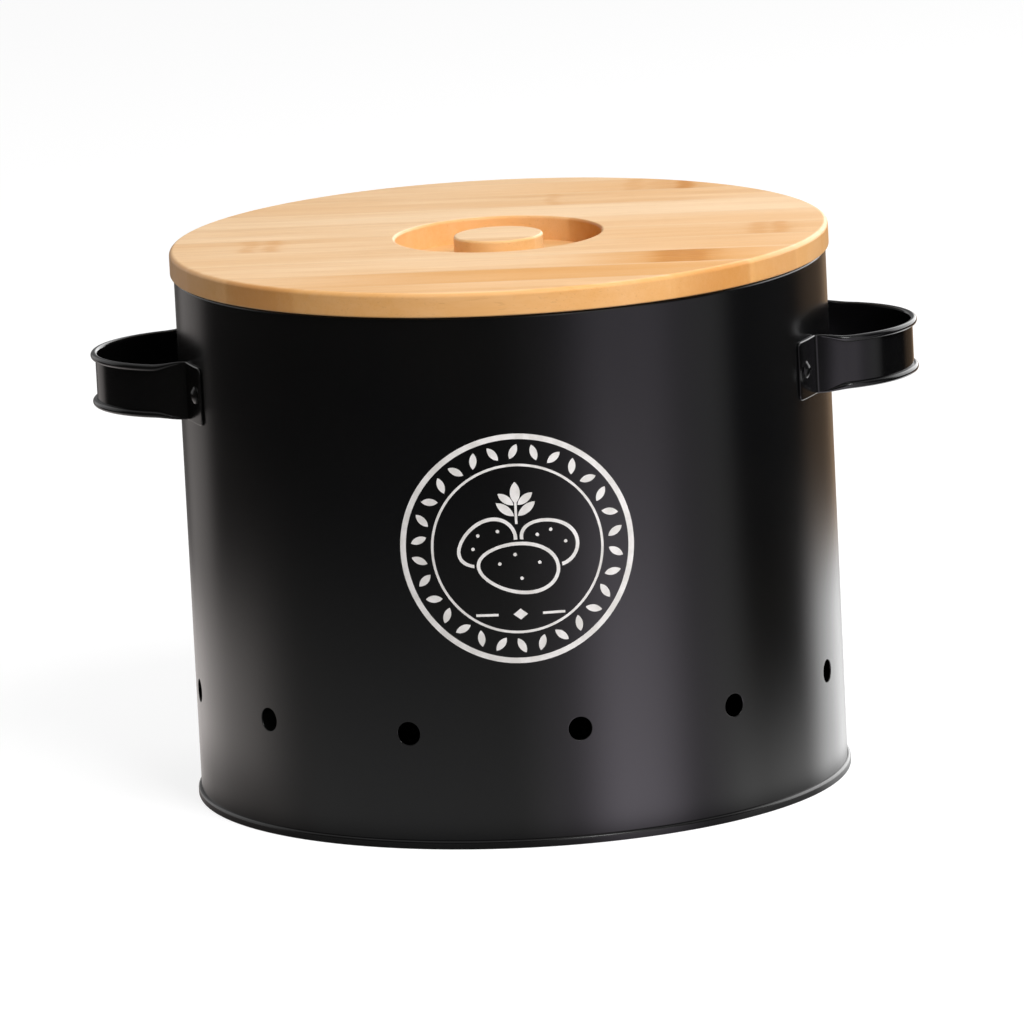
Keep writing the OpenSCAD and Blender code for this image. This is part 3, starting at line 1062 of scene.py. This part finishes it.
def draw_sprig(ink):
    """Upright stem with a leaf at its tip and two pairs at its sides."""
    foot_z, stem_h, spread = 9, 8, 52
    tip_l, tip_w, tip_lap = 8, 3.6, 0.6
    half = FINE / 2
    ink.strip([(-half, foot_z), (-half, foot_z + stem_h)], [(half, foot_z), (half, foot_z + stem_h)])
    draw_leaf(ink, tip_l, tip_w, 90, (0, foot_z + stem_h + tip_l / 2 - tip_lap))
    for up, long, wide in ((2.4, 8, 3), (6.4, 7, 2.8)):
        for side in (-1, 1):
            lean = 90 - side * spread
            foot = turned((long / 2 + FINE, 0), lean, (0, foot_z + up))
            draw_leaf(ink, long, wide, lean, foot)


def draw_divider(ink):
    """Fine rule with a lozenge at its middle."""
    z, rule_x, rule_l, half_w, half_h = -24, 12, 8, 2.6, 2
    ink.strip([(-half_w, z), (0, z + half_h), (half_w, z)], [(-half_w, z), (0, z - half_h), (half_w, z)])
    for side in (-1, 1):
        xs = [side * rule_x + rule_l * (i / 8 - 0.5) for i in range(9)]
        ink.strip([(x, z + FINE / 2) for x in xs], [(x, z - FINE / 2) for x in xs])


def front_print(material):
    """White badge on the front of the wall."""
    ink = Print()
    draw_ring(ink, PRINT_R, BOLD)
    draw_ring(ink, PRINT_R - BOLD - WREATH_W, FINE)
    draw_wreath(ink)
    draw_potatoes(ink)
    draw_sprig(ink)
    draw_divider(ink)
    ink.shell.build("badge_print", material, "bin", "ink", "front_print")


# Studio: what reflections see of the table and the room, the lamps and the camera

ROOM = 0.05
BACKDROP = 0.2
WINDOW = 3
CEILING = 0.45
SOFTBOX = 12
SOFTBOX_UP = 0.69
FLOOR_WHITE = 0.82
FLOOR_GREY = 0.3
FLOOR_HALF_M = 12
WORLD_FILL = 0.3
TABLE_LEAST = 0.015
LAMP_FAR_M = 1.8

# Patches of the table as the wall mirrors them, each as the turn of its middle on the wall, the degrees to
# where it is full and to where it ends, the two distances between which it changes, and its strengths there
TABLE_PATCHES = (
    (22.5, 1, 13, 0.2, 0.85, 1.8, 0.63),
    (13, 3, 13, 0.2, 0.9, 0.32, 0.08),
    (37, 6, 14, 0.1, 0.7, 0.32, 0.42),
    (56, 8, 20, 0.02, 0.2, 0.6, 0),
    (54, 6, 14, 0.1, 0.3, 0, -0.3),
    (75.5, 3.5, 14, 0.28, 0.54, 1.8, 0.12),
    (-64, 10, 25, 0.25, 0.5, 0.6, 0),
    (-70.5, 3.5, 9.5, 0.3, 0.6, 0.1, 0.42),
)
# Patch that takes light away near the foot
TABLE_SHADE = (-62, 8, 28, 0.03, 0.16, 0.62, 0)
# Tints of the table, each as the turn, the same two degrees, and the colour
TABLE_TINTS = ((22.5, 8, 22, (1.03, 0.95, 1.08, 1)), (-64, 12, 32, (1.05, 0.98, 0.95, 1)))
WARM_TINT = (1.25, 0.86, 0.56, 1)
# Windows, each as the bearing, the degrees to where it is full and to where it ends, and its share of WINDOW
WINDOWS = ((138, 26, 44, 1), (-125, 18, 38, 0.2), (36, 14, 28, 0.25))
SOFTBOX_REACH = (34, 5, 12)
BACKDROP_REACH = (182, 32, 62)
# Lamps, each as the name, azimuth, elevation, width and height in metres, and watts
LAMPS = (
    ("key_lamp", 34, 44, 0.9, 0.9, 36),
    ("side_lamp", 130, 24, 1.2, 0.5, 10),
    ("left_lamp", -110, 14, 0.9, 0.4, 3),
)


def bearing(vector):
    """Horizontal direction of a direction or place, and its horizontal length."""
    flat = add("ShaderNodeVectorMath", {0: vector, 1: (1, 1, 0)}, operation="MULTIPLY").outputs[0]
    far = add("ShaderNodeVectorMath", {0: flat}, operation="LENGTH").outputs["Value"]
    return add("ShaderNodeVectorMath", {0: flat}, operation="NORMALIZE").outputs[0], far


def lobe(way, degrees, inner, outer):
    """1 within inner degrees of a bearing, which is counted from the front towards +X, and 0 past outer."""
    turn = radians(degrees)
    inputs = {0: way, 1: (sin(turn), -cos(turn), 0)}
    cosine = add("ShaderNodeVectorMath", inputs, operation="DOT_PRODUCT").outputs["Value"]
    return fade(cosine, cos(radians(outer)), cos(radians(inner)))


def wall_mirror(place):
    """Turn of the wall's point that mirrors a place of the table to the front, and the metres between them.

    The turn is a first guess that is corrected twice.
    """
    x, y, z = parts(place)
    far = bearing(place)[1]
    front = calc("ARCTAN2", x, times(y, -1.0))
    front = minus(front, radians(CAMERA_AZIMUTH))
    share = calc("MINIMUM", calc("DIVIDE", BODY_R * MM, far), 1.0)
    turn = calc("DIVIDE", front, minus(2.0, share))
    for step in range(2):
        lean = calc("ARCSINE", times(share, calc("SINE", turn)))
        turn = times(total(front, lean), 0.5)
    across = times(calc("SINE", turn), BODY_R * MM)
    along = times(calc("COSINE", turn), BODY_R * MM)
    reach = minus(times(far, far), times(across, across))
    off = minus(calc("SQRT", calc("MAXIMUM", reach, 0.0)), along)
    turn = times(turn, math.degrees(1))
    return total(turn, CAMERA_AZIMUTH), off


def floor_light(tree):
    """Table top as the object mirrors it: white at the sides and under the window, darker elsewhere."""
    turn, off = wall_mirror(add("ShaderNodeNewGeometry", tree=tree).outputs["Position"])

    def band(centre, inner, outer, value=turn):
        """1 within inner degrees of a turn, and 0 past outer."""
        return fade(calc("ABSOLUTE", minus(value, centre)), inner, outer, 1, 0)

    def patch(centre, inner, outer, start, end, near, away):
        """Band whose strength goes from near to away as the distance goes from start to end."""
        return times(band(centre, inner, outer), fade(off, start, end, near, away))

    behind = band(90, 2, 12, calc("ABSOLUTE", turn))
    strength = total(
        fade(off, 0, 0.7, 0.46, 0.03),
        *[patch(*numbers) for numbers in TABLE_PATCHES],
        times(behind, fade(off, 0.3, 0.6, 0.7, 0.4)),
    )
    contact = minus(1.0, patch(*TABLE_SHADE))
    contact = times(contact, fade(off, 0, 0.05, 0.3, 1))
    strength = calc("MAXIMUM", times(strength, contact), TABLE_LEAST)
    colour = WHITE
    for *reach, tint in TABLE_TINTS:
        colour = mix(band(*reach), colour, tint)
    warm = times(band(78, 9, 18), fade(off, 0.35, 0.6))
    colour = mix(warm, colour, WARM_TINT)
    return add("ShaderNodeEmission", {"Color": colour, "Strength": strength}).outputs[0]


def room_light(tree):
    """Brightness of the room by direction: low windows, a dim wall behind, a ceiling and a softbox."""
    place = add("ShaderNodeTexCoord", tree=tree).outputs["Generated"]
    way = bearing(place)[0]
    up = parts(place)[2]
    windows = total(*[times(lobe(way, *reach), share * WINDOW) for *reach, share in WINDOWS])
    off_softbox = calc("ABSOLUTE", minus(up, SOFTBOX_UP))
    softbox = fade(off_softbox, 0.05, 0.09, SOFTBOX, 0)
    return total(
        ROOM,
        times(lobe(way, *SOFTBOX_REACH), softbox),
        times(lobe(way, *BACKDROP_REACH), BACKDROP),
        times(windows, fade(up, 0.5, 0.8, 1, 0)),
        fade(up, 0.55, 0.9, 0, CEILING),
    )


def background_share(paths):
    """1 for the rays that look straight at the background, also through a clear piece."""
    return total(paths.outputs["Is Camera Ray"], paths.outputs["Is Transmission Ray"])


def studio_floor():
    """Pale table top. Seen straight it is white with the object's soft shadow."""
    half = FLOOR_HALF_M
    mesh = bpy.data.meshes.new("floor")
    corners = [(-half, -half, 0), (half, -half, 0), (half, half, 0), (-half, half, 0)]
    mesh.from_pydata(corners, [], [(0, 1, 2, 3)])
    floor = new_object("floor", mesh)
    material = bpy.data.materials.new("floor_white")
    tree = empty_tree(material)
    paths = add("ShaderNodeLightPath", tree=tree)
    lit = add("ShaderNodeBsdfDiffuse", {"Color": (FLOOR_GREY, FLOOR_GREY, FLOOR_GREY, 1)}, tree).outputs[0]
    white = times(background_share(paths), FLOOR_WHITE)
    white = add("ShaderNodeEmission", {"Color": WHITE, "Strength": white}).outputs[0]
    straight = add("ShaderNodeAddShader", {0: lit, 1: white}).outputs[0]
    shares = {0: paths.outputs["Is Glossy Ray"], 1: straight, 2: floor_light(tree)}
    seen = add("ShaderNodeMixShader", shares).outputs[0]
    add("ShaderNodeOutputMaterial", {"Surface": seen})
    mesh.materials.append(material)


def studio_world():
    """White to the camera, the room to reflections, and a soft fill to all else."""
    world = bpy.data.worlds.new("studio")
    bpy.context.scene.world = world
    tree = empty_tree(world)
    paths = add("ShaderNodeLightPath", tree=tree)

    def light(strength):
        return add("ShaderNodeBackground", {"Color": WHITE, "Strength": strength}, tree).outputs[0]

    shares = {0: background_share(paths), 1: light(WORLD_FILL), 2: light(1.0)}
    seen = add("ShaderNodeMixShader", shares).outputs[0]
    shares = {0: paths.outputs["Is Glossy Ray"], 1: seen, 2: light(room_light(tree))}
    seen = add("ShaderNodeMixShader", shares).outputs[0]
    add("ShaderNodeOutputWorld", {"Surface": seen})


def lamp(name, azimuth, elevation, width, height, watts):
    """Soft lamp that looks at the bin. It doesn't show in reflections, which have the room instead."""
    data = bpy.data.lights.new(name, "AREA")
    data.shape = "RECTANGLE"
    data.size = width
    data.size_y = height
    data.energy = watts
    made = new_object(name, data)
    out = direction(azimuth, elevation)
    made.location = Vector(LOOK_AT) * MM + out * LAMP_FAR_M
    made.visible_glossy = False
    made.rotation_mode = "QUATERNION"
    made.rotation_quaternion = (-out).to_track_quat("-Z", "Y")


def studio_camera():
    """Camera that sees the bin as the photograph does."""
    data = bpy.data.cameras.new("photo_camera")
    data.lens = CAMERA_LENS
    data.shift_x = SHIFT_X
    data.shift_y = SHIFT_Y
    data.clip_start = CLIP_NEAR_M
    data.clip_end = CLIP_FAR_M
    camera = new_object("photo_camera", data)
    back = direction(CAMERA_AZIMUTH, CAMERA_ELEVATION)
    level = polar(1, CAMERA_AZIMUTH)
    upright = back.cross(level)
    roll = radians(CAMERA_ROLL)
    right = level * cos(roll) + upright * sin(roll)
    up = back.cross(right)
    turn = Matrix((right, up, back)).transposed().to_4x4()
    camera.matrix_world = Matrix.Translation((Vector(LOOK_AT) + back * CAMERA_FAR) * MM) @ turn
    bpy.context.scene.camera = camera


def light_studio():
    studio_floor()
    studio_world()
    for numbers in LAMPS:
        lamp(*numbers)
    studio_camera()
    bpy.context.scene.view_settings.view_transform = "Standard"


def build_bin():
    tin = black_coat("satin_black", rough=0.22, rough_spread=0.02, peel=0.05)
    gloss = black_coat("gloss_black", rough=0.16, rough_spread=0.03, peel=0.05)
    tin_wall(tin)
    side_seam(tin)
    base_panel(tin)
    for name, half_turn in (("right", 0), ("left", 180)):
        handle(f"{name}_strap", gloss, half_turn, f"{name}_handle")
        rivets(f"{name}_rivets", gloss, half_turn, f"{name}_handle_rivets")
    front_print(white_ink())


def build_lid():
    """Bamboo pieces, and the CAD's own screw in zinc. The number is the place of a strip's edge."""
    board = Bamboo("bamboo_board", 4, LID_PALE, LID_DEEP, LID_SIDE_AND_SHADE, LID_MARKS, LID_TINTS, LID_ENDS_AND_SHADE)
    knob = Bamboo("bamboo_knob", -9, LID_PALE, LID_DEEP, KNOB_SIDE_AND_SHADE)
    plug = Bamboo("bamboo_plug", 12, PLUG_PALE, PLUG_DEEP, LID_SIDE_AND_SHADE, PLUG_MARKS)
    lid_board(board.material)
    lid_knob(knob.material)
    lid_plug(plug.material)
    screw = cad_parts["knob_screw"]
    screw.data.materials.clear()
    screw.data.materials.append(zinc())


build_bin()
build_lid()
light_studio()
